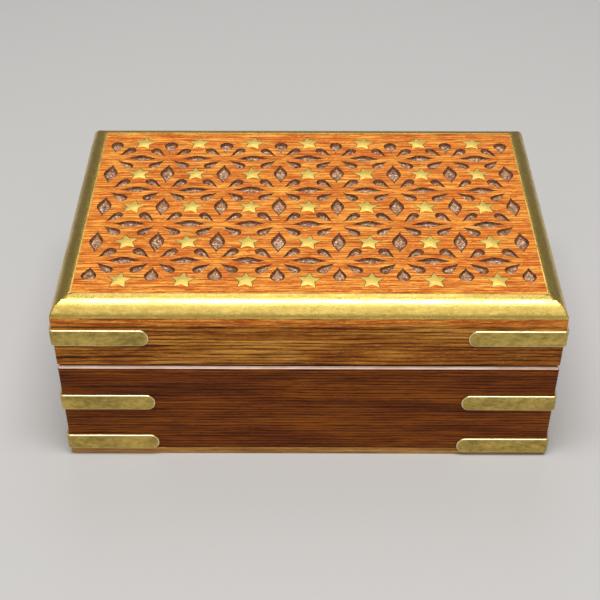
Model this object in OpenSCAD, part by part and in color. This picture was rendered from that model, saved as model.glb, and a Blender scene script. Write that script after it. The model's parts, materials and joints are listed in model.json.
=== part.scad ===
// Inlaid wooden box: sheesham boards, a lid carved with a blind lattice and set with
// brass stars, brass sheet over the lid's rounded edges, brass straps round the corners.
// Origin at the centre of the resting face, +X right, +Y to the back, +Z up, millimetres.

/* [Carcass] */
// Width across the boards, left to right
box_w = 203; // [150:1:280]
// Depth across the boards, front to back
box_d = 133; // [105:1:190]
// Height of the base, bottom board included
base_h = 50.4; // [42:0.2:90]
// Height of the lid's wood, lower rim to top face
lid_h = 31.4; // [26:0.2:50]
// Gap between the two rims when the lid is shut
seam_gap = 0.8; // [0.2:0.1:1.2]
// Thickness of the upright boards
wall_t = 8; // [6.5:0.5:12]
// Thickness of the bottom board
bottom_t = 3.5; // [2.5:0.5:6]
// Thickness of the top board
top_t = 10.4; // [9:0.2:14]
// Thickness of a front or back board where it laps over a side board
lap_t = 3; // [2:0.5:5]
// Radius of the upright corners
corner_r = 0.8; // [0.4:0.1:1.6]
// Width of the bevel along the base's rim, across the top
base_bevel_w = 0.9; // [0.6:0.1:1.6]
// Depth of that bevel, down the face
base_bevel_d = 0.8; // [0.4:0.1:1.4]
// Width of the bevel along the lid's rim
lid_bevel = 0.8; // [0.2:0.1:1]

/* [Edge trim] */
// Radius of the lid's rounded top edge
edge_r = 8; // [6:0.5:9]
// How far round that edge the brass reaches, in degrees
trim_sweep = 78; // [60:1:86]
// Thickness of the brass sheet
trim_t = 0.8; // [0.5:0.1:1.2]
// How far the brass stands above the wood
trim_proud = 0.2; // [0.1:0.05:0.4]
// Gap left in each mitre
mitre_gap = 0.12; // [0.05:0.01:0.3]

/* [Lattice] */
// Spacing of the stars, and of the flowers between them
pitch = 25.1; // [19:0.1:34]
// Least distance from the trim to the middle of the outer flowers
flower_margin = 5; // [4:0.5:12]
// Least distance from the trim to the middle of the outer stars
star_margin = 6; // [5.5:0.5:12]
// Depth of the carved pockets
pocket_depth = 1.6; // [1:0.1:4]
// Distance from a flower's middle to the tips of its slanting petals
eye_slant = 2; // [1.5:0.1:4]
// Distance from a flower's middle to the tips of its side spindles
eye_side = 4; // [3.5:0.1:6]
// Distance from a flower's middle to the tips of its upright spindles
eye_upright = 4.9; // [4.5:0.1:7]
// Distance from a flower's middle to the tips of the drops in the outer rows
eye_drop = 3.7; // [3.2:0.1:7]
// Angle of the slanting petals from the box's width
petal_angle = 41; // [38:1:45]
// Radius of the slanting petals' round end
petal_r = 2.25; // [1.5:0.05:2.8]
// Wood left between a petal and its star
petal_land = 1.1; // [0.8:0.1:2.5]
// How far the petals' flanks are drawn in, 1 for straight
petal_waist = 1.6; // [1:0.1:3]
// Width of the side spindles
side_spindle_w = 4.9; // [3:0.1:6]
// How far the side spindles' ends are drawn out, 1 for plump
side_waist = 2.4; // [1:0.1:3]
// Width of the upright spindles
upright_spindle_w = 6.4; // [3:0.1:7]
// How far the upright spindles' ends are drawn out, 1 for plump
upright_waist = 1.9; // [1:0.1:3]
// Radius of the round end of the drops in the outer rows
drop_r = 3; // [1.8:0.1:3.2]
// How far the drops run past the middle of the outer stars
drop_past = 0.5; // [0:0.1:3]

/* [Stars] */
// Radius to a star's tips
star_r = 5.1; // [3.5:0.05:5.5]
// Radius to a star's inner corners
star_inner_r = 2.5; // [1.6:0.1:2.8]
// Thickness of the stars
star_t = 1.2; // [0.8:0.1:2]
// How far the stars stand above the wood
star_proud = 0.08; // [0:0.02:0.2]
// Largest turn by which a hand-set star is out of true, in degrees
star_wander = 11; // [0:1:20]
// Which set of chance turns the stars are given
star_chance = 8; // [1:1:50]

/* [Corner straps] */
// Width of the brass straps
strap_w = 8; // [7:0.5:9.5]
// Thickness of the brass straps
strap_t = 1; // [0.6:0.1:1.5]
// Radius of the corners at a strap's ends
strap_end_r = 3.6; // [1:0.1:3.9]
// Reach of a strap along each side, from the corner
strap_reach = 38.2; // [30:0.2:46]
// Height of the base's lower straps at the left end, to their middle
low_left_strap_z = 7.8; // [5.5:0.1:9]
// Height of the base's lower straps at the right end, to their middle
low_right_strap_z = 6; // [5.5:0.1:9]
// Height of the base's upper straps, to their middle
high_strap_z = 31.2; // [20:0.2:36]
// Height of the lid's straps above its rim, to their middle
lid_strap_up = 15.4; // [6:0.2:15.4]

/* [Fastenings] */
// Radius of the brass pins through the straps
pin_r = 0.8; // [0.5:0.1:1.1]
// Depth to which the pins enter the wood
pin_depth = 6; // [4:0.5:6]
// How far the pins stand above the straps
pin_proud = 0.12; // [0:0.02:0.3]
// Wood between the inner face of a side board and the pin next to it
pin_land = 1.2; // [1:0.1:3]
// Radius of the iron brads' shanks
brad_r = 0.7; // [0.4:0.1:1]
// Radius of the brads' heads
brad_head_r = 1.2; // [1:0.1:1.6]
// Thickness of the brads' heads
brad_head_t = 0.6; // [0.4:0.1:1]
// Distance from the end of a strap to the brad beyond it
brad_past = 12; // [8:1:20]
// How far the brads are punched down below the seat of the trim
brad_sunk = 0.1; // [0.05:0.05:0.5]
// Length of the brads
brad_l = 18; // [14:1:18]

/* [Hinges] */
// Distance from the end of the box to the middle of each hinge
hinge_inset = 41.5; // [30:0.5:50]
// Length of each hinge
hinge_l = 25; // [18:1:30]
// Thickness of the leaves
leaf_t = 0.8; // [0.5:0.1:1]
// Wood left between the inner face of the board and a leaf
leaf_land = 1; // [0.5:0.1:1.5]
// Radius of the knuckles
knuckle_r = 1.75; // [1.5:0.05:1.9]
// Radius of the hinge pin
hinge_pin_r = 0.9; // [0.7:0.05:1]
// Distance from the back face in to the hinge pin
pin_inset = 1; // [0.9:0.05:1.4]
// Angle to which the lid opens
open_angle = 105; // [95:1:110]
// Radius of the screw heads
screw_head_r = 1.5; // [1.2:0.1:1.7]
// Radius of the screw shanks
screw_r = 0.8; // [0.6:0.1:1]
// Length of the screws
screw_l = 8; // [6:0.5:8]
// Metal left between a screw's head and the edge of its leaf
screw_land = 0.6; // [0.4:0.1:1]
// Width of the slot in a screw's head
slot_w = 0.4; // [0.3:0.1:0.6]
// Depth of that slot
slot_depth = 0.35; // [0.2:0.05:0.5]

/* [Lining] */
// Thickness of the velvet-covered card on the walls
lining_t = 1.4; // [1:0.1:2.5]
// Depth of the bare rim above the wall lining
lining_drop = 4; // [3:0.5:10]
// Thickness of the pad on the floor
floor_pad_t = 3; // [2:0.5:6]
// Thickness of the pad under the top board
lid_pad_t = 2.4; // [1.5:0.1:5]

/* [Fits] */
// Running clearance of the hinge pin in the lid's knuckle
pin_fit = 0.05; // [0.02:0.01:0.1]
// Gap between neighbouring knuckles
knuckle_gap = 0.2; // [0.1:0.05:0.4]
// Space round the knuckles in the wood and in the other leaf
knuckle_clear = 0.3; // [0.2:0.05:0.4]
// Space round a leaf in its recess
leaf_clear = 0.1; // [0.05:0.05:0.3]
// Space round a pad or lining
pad_clear = 0.3; // [0.1:0.1:1]
// Angle by which the back bevels clear each other at full opening, in degrees
stop_spare = 2; // [1:0.5:4]
// How far from the hinge pin the back bevels begin
stop_start = 0.15; // [0.1:0.05:0.3]

/* [Hidden] */
$fn = 64;
eps = 0.01;
over = 2;

// heights
lid_z = base_h + seam_gap;
top_z = lid_z + lid_h;
panel_z = top_z - top_t;
lid_strap_z = lid_z + lid_strap_up;

// insides
inner_w = box_w - 2 * wall_t;
inner_d = box_d - 2 * wall_t;

// the carved field inside the trim, and how many stars it takes
field_w = box_w - 2 * edge_r;
field_d = box_d - 2 * edge_r;
flower_cols = floor((field_w - 2 * flower_margin) / pitch) + 1;
star_cols = flower_cols - 1;
star_rows = floor((field_d - 2 * star_margin) / pitch) + 1;
flower_rows = star_rows - 1;
star_turns = rands(-star_wander, star_wander, star_cols * star_rows, star_chance);

// the trim's seat in the top board
trim_outer_r = edge_r + trim_proud;
trim_seat_r = trim_outer_r - trim_t;

// strap pins, measured from the corner along each face
near_pin = wall_t + pin_land;
far_pin = strap_reach - strap_w / 2;

// brads, measured from the corner: between the strap pins, and clear of the straps
brad_near = (near_pin + far_pin) / 2;
brad_far = strap_reach + brad_past;
brad_side = edge_r - wall_t / 2 + brad_head_r;
lid_brad_z = top_z - edge_r + sqrt(trim_seat_r * trim_seat_r - brad_side * brad_side) - brad_sunk;

// hinges: the pin lies in the middle of the seam, and the leaves meet there when shut
hinge_x = box_w / 2 - hinge_inset;
hinge_y = box_d / 2 - pin_inset;
hinge_z = base_h + seam_gap / 2;
leaf_w = wall_t - pin_inset - leaf_land;
knuckle_l = (hinge_l - 2 * knuckle_gap) / 3;
screw_y = screw_head_r + screw_land - leaf_w;
screw_x = hinge_l / 3;
// both back arrises fall away from the pin by half the opening angle, and a little more
stop_slope = (open_angle + stop_spare) / 2;

// ---------- outlines ----------

// points on an arc of radius r about c
function arc(c, r, from, to, n) =
    [for (k = [0:n]) let (a = from + (to - from) * k / n) c + r * [cos(a), sin(a)]];

// a petal along +X: sharp at tip, round at far
function petal(tip, far, r) =
    let (c = far - r, side = [for (t = [1 / 3, 2 / 3]) [tip + (c - tip) * t, r * pow(t, petal_waist)]])
    concat(
        [[tip, 0]],
        [for (k = [0, 1]) [side[k][0], -side[k][1]]],
        arc([c, 0], r, -90, 90, 6),
        [side[1], side[0]]
    );

// a spindle along X, sharp at both ends; a higher waist draws its ends out thinner
function spindle(half_l, half_w, waist) =
    let (n = 4, side = [for (k = [-n:n]) [k / n * half_l, half_w * pow(cos(90 * k / n), waist)]])
    concat(side, [for (k = [2 * n - 1:-1:1]) [side[k][0], -side[k][1]]]);

// a five-pointed star with a tip on +Y
function star() =
    [for (k = [0:9]) let (a = 90 + 36 * k, r = k % 2 == 0 ? star_r : star_inner_r) r * [cos(a), sin(a)]];

// a rectangle with round corners
module plan(w, d, r) {
    square([w - 2 * r, d], center = true);
    square([w, d - 2 * r], center = true);
    for (x = [-1, 1], y = [-1, 1])
        translate([x * (w / 2 - r), y * (d / 2 - r)]) circle(r);
}

// ---------- boards ----------

// a section drawn as [across, up], run along the box's depth or its width
module run_depth() rotate([90, 0, 0]) linear_extrude(box_d + 2 * over, center = true) children();
module run_width() rotate([90, 0, 90]) linear_extrude(box_w + 2 * over, center = true) children();

// a width of board w, from 0 up to h, with bevels on its two upper corners: [across, down]
module bevelled_section(w, h, bevel) {
    polygon([
        [-w / 2, 0], [w / 2, 0], [w / 2, h - bevel[1]], [w / 2 - bevel[0], h],
        [-w / 2 + bevel[0], h], [-w / 2, h - bevel[1]]
    ]);
}

// the same, but the back corner falls away from the hinge pin so the lid can turn
module hinged_section(h, bevel) {
    start = hinge_y - stop_start;
    fall = (box_d / 2 - start) * tan(stop_slope);
    polygon([
        [-box_d / 2, 0], [box_d / 2, 0], [box_d / 2, h - fall], [start, h],
        [-box_d / 2 + bevel[0], h], [-box_d / 2, h - bevel[1]]
    ]);
}

// outer form of a ring of walls that is h high, with its rim at the top
module walls_form(h, bevel) {
    intersection() {
        linear_extrude(h) plan(box_w, box_d, corner_r);
        run_depth() bevelled_section(box_w, h, bevel);
        run_width() hinged_section(h, bevel);
    }
}

// front or back board: full width, rebated at both ends for the side boards
module long_board(side, h) {
    difference() {
        translate([-box_w / 2, side > 0 ? box_d / 2 - wall_t : -box_d / 2, 0]) cube([box_w, wall_t, h]);
        for (x = [-1, 1])
            translate([x * (box_w / 2 - wall_t / 2 + over / 2), 0, h / 2])
                translate([0, side * (box_d / 2 - lap_t - wall_t / 2), 0])
                    cube([wall_t + over, wall_t, h + over], center = true);
    }
}

// side board: fits between the laps of the long boards
module short_board(side, h) {
    translate([side * (box_w / 2 - wall_t / 2), 0, h / 2])
        cube([wall_t, box_d - 2 * lap_t, h], center = true);
}

// places what stands on the bottom board, rim up
module in_base() translate([0, 0, bottom_t]) children();

// places what hangs under the top board, rim down
module in_lid() translate([0, 0, panel_z]) mirror([0, 0, 1]) children();

base_wall_h = base_h - bottom_t;
lid_wall_h = lid_h - top_t;

module base_board() {
    difference() {
        in_base() intersection() {
            children();
            walls_form(base_wall_h, [base_bevel_w, base_bevel_d]);
        }
        base_fastenings();
    }
}

module lid_board() {
    difference() {
        in_lid() intersection() {
            children();
            walls_form(lid_wall_h, [lid_bevel, lid_bevel]);
        }
        lid_fastenings();
    }
}

module base_front() color("#7a3f1c") base_board() long_board(-1, base_wall_h);
module base_left() color("#7a3f1c") base_board() short_board(-1, base_wall_h);
module base_right() color("#7a3f1c") base_board() short_board(1, base_wall_h);
module base_back() color("#7a3f1c") difference() {
    base_board() long_board(1, base_wall_h);
    hinge_recesses();
    base_hinge_screws();
}

module lid_front() color("#9c6228") lid_board() long_board(-1, lid_wall_h);
module lid_left() color("#9c6228") lid_board() short_board(-1, lid_wall_h);
module lid_right() color("#9c6228") lid_board() short_board(1, lid_wall_h);
module lid_back() color("#9c6228") difference() {
    lid_board() long_board(1, lid_wall_h);
    hinge_recesses();
    lid_hinge_screws();
}

module base_bottom() color("#b97f40") difference() {
    linear_extrude(bottom_t) plan(box_w, box_d, corner_r);
    bottom_brads();
}

// ---------- top board ----------

// section of the trim, about the centre of the edge's radius
module trim_section() {
    reach = 2 * edge_r;
    intersection() {
        difference() {
            circle(trim_outer_r);
            circle(trim_seat_r);
        }
        polygon([[0, 0], [reach, reach * tan(90 - trim_sweep)], [reach, reach], [0, reach]]);
    }
}

// section of the top board across a width w: round edges, each cut back to seat its trim
module panel_section(w) {
    difference() {
        translate([-w / 2, 0]) square([w, top_t]);
        for (side = [0, 1]) mirror([side, 0]) translate([w / 2 - edge_r, top_t - edge_r]) {
            difference() {
                square(edge_r + over);
                circle(edge_r);
            }
            trim_section();
        }
    }
}

// draws its child at each pocket of the lattice: outlines only
module lattice() {
    petal_far = norm([pitch, pitch]) / 2 - star_r - petal_land;
    side_l = pitch - 2 * eye_side;
    upright_l = pitch - 2 * eye_upright;
    drop_far = pitch / 2 + drop_past;

    for (col = [0:flower_cols - 1], row = [0:flower_rows - 1]) {
        translate([(col - (flower_cols - 1) / 2) * pitch, (row - (flower_rows - 1) / 2) * pitch]) {
            // a petal towards each star round this flower
            for (x = [-1, 1], y = [-1, 1])
                if (col + x >= 0 && col + x < flower_cols)
                    rotate(atan2(y * sin(petal_angle), x * cos(petal_angle)))
                        polygon(petal(eye_slant, petal_far, petal_r));
            // a spindle to the next flower in the row, and to the next row
            if (col < flower_cols - 1)
                translate([pitch / 2, 0]) polygon(spindle(side_l / 2, side_spindle_w / 2, side_waist));
            if (row < flower_rows - 1)
                translate([0, pitch / 2]) rotate(90)
                    polygon(spindle(upright_l / 2, upright_spindle_w / 2, upright_waist));
            // drops close the outer rows
            if (row == 0) rotate(-90) polygon(petal(eye_drop, drop_far, drop_r));
            if (row == flower_rows - 1) rotate(90) polygon(petal(eye_drop, drop_far, drop_r));
        }
    }
}

// the stars' outlines, each turned a little out of true
module star_field() {
    for (col = [0:star_cols - 1], row = [0:star_rows - 1])
        translate([(col - (star_cols - 1) / 2) * pitch, (row - (star_rows - 1) / 2) * pitch])
            rotate(star_turns[col + star_cols * row]) polygon(star());
}

module lid_panel() color("#d98044") difference() {
    translate([0, 0, panel_z]) intersection() {
        run_depth() panel_section(box_w);
        run_width() panel_section(box_d);
        linear_extrude(top_t + over) plan(box_w, box_d, corner_r);
    }
    translate([0, 0, top_z - pocket_depth]) linear_extrude(pocket_depth + over) lattice();
    translate([0, 0, top_z + star_proud - star_t]) linear_extrude(star_t + over) star_field();
    lid_fastenings();
}

module lid_stars() color("#d8c56a") translate([0, 0, top_z + star_proud - star_t])
    linear_extrude(star_t) star_field();

// ---------- edge trim ----------

// a length of trim along the front or back (w across the box's depth), mitred at both ends
module trim_bar(w, l) {
    intersection() {
        translate([0, 0, top_z - edge_r]) rotate([90, 0, 90])
            linear_extrude(l + 2 * over, center = true)
                translate([w / 2 - edge_r, 0]) trim_section();
        // mitres: the plan's two 45 degree ends
        translate([0, 0, top_z - 2 * edge_r]) linear_extrude(3 * edge_r) {
            out = w / 2 + over;
            in = w / 2 - edge_r - over;
            half = l / 2 - w / 2 - mitre_gap / 2 * sqrt(2);
            polygon([[-half - in, in], [half + in, in], [half + out, out], [-half - out, out]]);
        }
        linear_extrude(top_z + over) plan_proud(w, l);
    }
}

// the box's plan, grown by what the trim stands proud
module plan_proud(w, l) plan(l + 2 * trim_proud, w + 2 * trim_proud, corner_r + trim_proud);

module trim_back() color("#c9b04c") trim_bar(box_d, box_w);
module trim_front() color("#c9b04c") rotate(180) trim_bar(box_d, box_w);
module trim_left() color("#c9b04c") rotate(90) trim_bar(box_w, box_d);
module trim_right() color("#c9b04c") rotate(-90) trim_bar(box_w, box_d);

// ---------- corner straps ----------

// outline of one arm seen square on: from past the corner in to its rounded end
module arm_outline() {
    translate([-strap_reach + strap_end_r, -strap_w / 2])
        square([strap_reach - strap_end_r + over, strap_w]);
    translate([-strap_reach, -strap_w / 2 + strap_end_r])
        square([strap_reach, strap_w - 2 * strap_end_r]);
    for (side = [-1, 1])
        translate([-strap_reach + strap_end_r, side * (strap_w / 2 - strap_end_r)]) circle(strap_end_r);
}

// the strap round the corner at +X, +Y
module corner_strap() {
    through = corner_r + strap_t + over;
    intersection() {
        linear_extrude(strap_w, center = true) difference() {
            plan(box_w + 2 * strap_t, box_d + 2 * strap_t, corner_r + strap_t);
            plan(box_w, box_d, corner_r);
        }
        union() {
            translate([box_w / 2, box_d / 2 - corner_r + through, 0]) rotate([90, 0, 0])
                linear_extrude(through) arm_outline();
            translate([box_w / 2 - corner_r, box_d / 2, 0]) rotate([90, 0, 90])
                linear_extrude(through) arm_outline();
        }
    }
}

// the four pins of the strap at +X, +Y
module corner_pins() {
    l = pin_depth + strap_t + pin_proud;
    for (a = [near_pin, far_pin]) {
        translate([box_w / 2 - a, box_d / 2 - pin_depth, 0]) rotate([-90, 0, 0])
            cylinder(r = pin_r, h = l);
        translate([box_w / 2 - pin_depth, box_d / 2 - a, 0]) rotate([0, 90, 0])
            cylinder(r = pin_r, h = l);
    }
}

// turns what is made for the corner at +X, +Y round to another corner
module at_corner(x, y, z)
    translate([0, 0, z])
        mirror([x < 0 ? 1 : 0, 0, 0])
            mirror([0, y < 0 ? 1 : 0, 0])
                children();

module strap(x, y, z) color("#a8934f") at_corner(x, y, z) difference() {
    corner_strap();
    corner_pins();
}

// the pins of four straps; the left pair may sit at another height than the right pair
module pins_at(left_z, right_z) {
    for (y = [-1, 1]) {
        at_corner(-1, y, left_z) corner_pins();
        at_corner(1, y, right_z) corner_pins();
    }
}

module low_strap_front_left() strap(-1, -1, low_left_strap_z);
module low_strap_front_right() strap(1, -1, low_right_strap_z);
module low_strap_back_left() strap(-1, 1, low_left_strap_z);
module low_strap_back_right() strap(1, 1, low_right_strap_z);
module high_strap_front_left() strap(-1, -1, high_strap_z);
module high_strap_front_right() strap(1, -1, high_strap_z);
module high_strap_back_left() strap(-1, 1, high_strap_z);
module high_strap_back_right() strap(1, 1, high_strap_z);
module lid_strap_front_left() strap(-1, -1, lid_strap_z);
module lid_strap_front_right() strap(1, -1, lid_strap_z);
module lid_strap_back_left() strap(-1, 1, lid_strap_z);
module lid_strap_back_right() strap(1, 1, lid_strap_z);

module base_strap_pins() color("#b39a4e") {
    pins_at(low_left_strap_z, low_right_strap_z);
    pins_at(high_strap_z, high_strap_z);
}
module lid_strap_pins() color("#b39a4e") pins_at(lid_strap_z, lid_strap_z);

// ---------- brads ----------

// a brad that points up from z = 0, its head flush there
module brad() {
    cylinder(r = brad_head_r, h = brad_head_t);
    cylinder(r = brad_r, h = brad_l);
}

// round the walls' middle line: four to each long board, two to each side board
module brad_places() {
    for (x = [-1, 1], y = [-1, 1]) {
        for (a = [brad_near, brad_far])
            translate([x * (box_w / 2 - a), y * (box_d / 2 - wall_t / 2), 0]) children();
        translate([x * (box_w / 2 - wall_t / 2), y * (box_d / 2 - brad_near), 0]) children();
    }
}

module bottom_brads() color("#6b6b6b") brad_places() brad();
module lid_brads() color("#6b6b6b") translate([0, 0, lid_brad_z]) mirror([0, 0, 1]) brad_places() brad();

// all that is driven into the boards, cut from them in one go
module base_fastenings() {
    base_strap_pins();
    bottom_brads();
}
module lid_fastenings() {
    lid_strap_pins();
    lid_brads();
    // each brad was punched down below the seat of the trim
    translate([0, 0, lid_brad_z - eps]) brad_places() cylinder(r = brad_head_r, h = edge_r);
}

// ---------- hinges ----------

// places a hinge's parts, its pin along X through the origin
module at_hinge(side) translate([side * hinge_x, hinge_y, hinge_z]) children();

module along_x(r, l, x) translate([x, 0, 0]) rotate([0, 90, 0]) cylinder(r = r, h = l, center = true);

// a leaf below the pin's level, with knuckles in the middle of the cells named
module leaf(own, other, bore_r) {
    cell = knuckle_l + knuckle_gap;
    difference() {
        union() {
            difference() {
                translate([-hinge_l / 2, -leaf_w, -leaf_t]) cube([hinge_l, leaf_w, leaf_t]);
                for (c = other) along_x(knuckle_r + knuckle_clear, knuckle_l + 2 * knuckle_gap, c * cell);
            }
            for (c = own) along_x(knuckle_r, knuckle_l, c * cell);
        }
        along_x(bore_r, hinge_l + over, 0);
    }
}

// a countersunk screw pointing down from z = 0, with a slot
module screw() {
    difference() {
        union() {
            translate([0, 0, -leaf_t]) cylinder(r1 = screw_r, r2 = screw_head_r, h = leaf_t);
            translate([0, 0, -screw_l]) cylinder(r = screw_r, h = screw_l - leaf_t + eps);
        }
        cube([2 * screw_head_r, slot_w, 2 * slot_depth], center = true);
    }
}

// the screw without its slot, to cut its seat
module screw_seat() {
    translate([0, 0, -leaf_t]) cylinder(r1 = screw_r, r2 = screw_head_r, h = leaf_t);
    translate([0, 0, -screw_l]) cylinder(r = screw_r, h = screw_l);
}

module screw_places() for (x = [-1, 1]) translate([x * screw_x, screw_y, 0]) children();

module base_leaf(side) color("#c2a24a") at_hinge(side) difference() {
    leaf([-1, 1], [0], hinge_pin_r);
    screw_places() screw_seat();
}

module lid_leaf(side) color("#c2a24a") at_hinge(side) mirror([0, 0, 1]) difference() {
    leaf([0], [-1, 1], hinge_pin_r + pin_fit);
    screw_places() screw_seat();
}

module hinge_pin(side) color("#a98c3c") at_hinge(side) along_x(hinge_pin_r, hinge_l, 0);

module left_hinge_base_leaf() base_leaf(-1);
module left_hinge_lid_leaf() lid_leaf(-1);
module left_hinge_pin() hinge_pin(-1);
module right_hinge_base_leaf() base_leaf(1);
module right_hinge_lid_leaf() lid_leaf(1);
module right_hinge_pin() hinge_pin(1);

module base_hinge_screws() color("#b8983f")
    for (side = [-1, 1]) at_hinge(side) screw_places() screw();
module lid_hinge_screws() color("#b8983f")
    for (side = [-1, 1]) at_hinge(side) mirror([0, 0, 1]) screw_places() screw();

// cut from both back boards: a seat for each leaf and room for the knuckles to turn
module hinge_recesses() {
    l = hinge_l + 2 * leaf_clear;
    for (side = [-1, 1]) at_hinge(side) {
        translate([-l / 2, -leaf_w - leaf_clear, -leaf_t]) cube([l, leaf_w + leaf_clear, 2 * leaf_t]);
        along_x(knuckle_r + knuckle_clear, hinge_l + 2 * knuckle_clear, 0);
    }
}

// ---------- lining ----------

module wall_lining(w, side) {
    h = base_wall_h - floor_pad_t - lining_drop;
    translate([0, side * (inner_d / 2 - lining_t / 2), bottom_t + floor_pad_t + h / 2])
        cube([w, lining_t, h], center = true);
}

// a side lining stands between the front and back ones
module side_lining(side) {
    h = base_wall_h - floor_pad_t - lining_drop;
    translate([side * (inner_w / 2 - lining_t / 2), 0, bottom_t + floor_pad_t + h / 2])
        cube([lining_t, inner_d - 2 * lining_t - 2 * pad_clear, h], center = true);
}

module pad(t) linear_extrude(t) square([inner_w - 2 * pad_clear, inner_d - 2 * pad_clear], center = true);

module lining_front() color("#7c1424") wall_lining(inner_w - 2 * pad_clear, -1);
module lining_back() color("#7c1424") wall_lining(inner_w - 2 * pad_clear, 1);
module lining_left() color("#7c1424") side_lining(-1);
module lining_right() color("#7c1424") side_lining(1);
module floor_pad() color("#7c1424") translate([0, 0, bottom_t]) pad(floor_pad_t);
module lid_pad() color("#7c1424") translate([0, 0, panel_z - lid_pad_t]) pad(lid_pad_t);

// ---------- the whole box ----------

base_bottom();
base_front();
base_back();
base_left();
base_right();
floor_pad();
lining_front();
lining_back();
lining_left();
lining_right();
low_strap_front_left();
low_strap_front_right();
low_strap_back_left();
low_strap_back_right();
high_strap_front_left();
high_strap_front_right();
high_strap_back_left();
high_strap_back_right();
base_strap_pins();
bottom_brads();
lid_panel();
lid_front();
lid_back();
lid_left();
lid_right();
lid_stars();
trim_front();
trim_back();
trim_left();
trim_right();
lid_strap_front_left();
lid_strap_front_right();
lid_strap_back_left();
lid_strap_back_right();
lid_strap_pins();
lid_brads();
lid_pad();
left_hinge_base_leaf();
left_hinge_lid_leaf();
left_hinge_pin();
right_hinge_base_leaf();
right_hinge_lid_leaf();
right_hinge_pin();
base_hinge_screws();
lid_hinge_screws();
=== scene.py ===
import json
import math
import random

import bmesh
import bpy
from mathutils import Matrix, Vector


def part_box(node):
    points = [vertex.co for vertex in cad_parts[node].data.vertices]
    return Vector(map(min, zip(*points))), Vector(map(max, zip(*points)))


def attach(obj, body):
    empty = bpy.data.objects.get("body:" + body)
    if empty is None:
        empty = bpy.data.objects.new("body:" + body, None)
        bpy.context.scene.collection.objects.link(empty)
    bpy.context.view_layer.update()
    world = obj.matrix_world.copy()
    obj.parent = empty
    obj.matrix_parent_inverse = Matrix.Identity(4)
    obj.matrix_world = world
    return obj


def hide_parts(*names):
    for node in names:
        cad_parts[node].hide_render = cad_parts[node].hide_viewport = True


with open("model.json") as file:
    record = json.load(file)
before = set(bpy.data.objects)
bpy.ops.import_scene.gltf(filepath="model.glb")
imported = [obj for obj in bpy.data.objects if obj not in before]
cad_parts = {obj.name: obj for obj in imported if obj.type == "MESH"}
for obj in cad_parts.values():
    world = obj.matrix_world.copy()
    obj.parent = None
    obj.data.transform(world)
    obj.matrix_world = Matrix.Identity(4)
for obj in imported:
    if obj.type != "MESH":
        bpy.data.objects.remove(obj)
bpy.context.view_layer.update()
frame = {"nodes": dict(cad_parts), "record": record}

# ---------- sizes ----------
# Everything is in metres. Places come from the frame; what the frame can't tell is given here.
MM = 0.001
SIDES = (-1, 1)

panel_low, panel_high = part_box("lid_panel")
trim_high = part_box("trim_front")[1]
strap_low, strap_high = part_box("lid_strap_back_right")

HALF_W = panel_high.x
HALF_D = panel_high.y
TOP = panel_high.z
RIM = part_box("base_front")[1].z
LID_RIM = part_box("lid_front")[0].z
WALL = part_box("base_front")[1].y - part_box("base_front")[0].y
LAP = HALF_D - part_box("base_left")[1].y
INNER_W = HALF_W - WALL

EDGE_R = trim_high.y + HALF_D
TRIM_PROUD = trim_high.z - TOP
TRIM_T = 0.8 * MM
TRIM_SWEEP = math.radians(78)
TRIM_EDGE = 0.12 * MM
MITRE_GAP = 0.12 * MM

# bevels are given across the rim and down the face
CORNER_R = 0.8 * MM
BASE_BEVEL = (0.9 * MM, 0.8 * MM)
LID_BEVEL = (0.8 * MM, 0.8 * MM)
ARRIS = 0.18 * MM
TOP_ARRIS = 0.2 * MM
BOTTOM_ARRIS = 0.25 * MM

STRAP_T = strap_high.y - HALF_D
STRAP_W = strap_high.z - strap_low.z
STRAP_REACH = HALF_W - strap_low.x
STRAP_END_R = 3.6 * MM
STRAP_EDGE = 0.4 * MM

PITCH = 25.1 * MM
STAR_COLS, STAR_ROWS = 7, 5
FLOWER_COLS, FLOWER_ROWS = STAR_COLS + 1, STAR_ROWS - 1
STAR_R, STAR_INNER_R = 5.1 * MM, 2.5 * MM
STAR_T, STAR_PROUD = 1.2 * MM, 0.08 * MM
STAR_EDGE, STAR_SEAT_PLAY = 0.2 * MM, 0.28 * MM
# the most a star is turned out of true, in degrees
STAR_TURN = 11

# a pocket's walls are low, its floor is dished and its ends rise nearly to the surface
POCKET_DEPTH, POCKET_WALL, POCKET_TIP = 1.5 * MM, 0.8 * MM, 0.15 * MM
POCKET_RIM = 0.25 * MM
FLOOR_TEAR = 0.35 * MM
PILOT_AT, PILOT_R, PILOT_DEPTH = 9 * MM, 0.9 * MM, 1.8 * MM

# the pockets' outlines: near and far are distances from a flower's middle, and a waist tells how
# fast a spindle narrows to its ends
PETAL_NEAR, PETAL_FAR, PETAL_R = 2 * MM, PITCH / math.sqrt(2) - STAR_R - 1.1 * MM, 2.25 * MM
DROP_NEAR, DROP_FAR, DROP_R = 3.7 * MM, PITCH / 2 + 0.5 * MM, 3 * MM
SIDE_HALF_L, SIDE_HALF_W, SIDE_WAIST = PITCH / 2 - 3.8 * MM, 2.45 * MM, 2.6
UPRIGHT_HALF_L, UPRIGHT_HALF_W, UPRIGHT_WAIST = PITCH / 2 - 4.9 * MM, 3.2 * MM, 1.9
FLANK_CURVE, TIP_RISE = 2.1, 1.5
PETAL_ANGLE = math.radians(41)
PETAL_MIDDLE, DROP_MIDDLE = 8 * MM, 9 * MM

# where the carved top keeps its materials; slot 0 is its upper face, and the walls' slot carries painted
# shade
FLOOR_SLOT, WALL_AND_PAINTED_SHADE_SLOT, ARRIS_SLOT = 1, 2, 3

hinge_pin = frame["record"]["behaviour"]["joints"][0]["pos_m"]
HINGE_Y, HINGE_Z = hinge_pin[1], hinge_pin[2]
STOP_SLOPE, STOP_BACK = math.radians(53.5), 0.15 * MM
HINGE_PLAY, LEAF_T, KNUCKLE_SEAT_R = 0.1 * MM, 0.8 * MM, 2.05 * MM


# ---------- working in the modeller ----------

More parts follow.
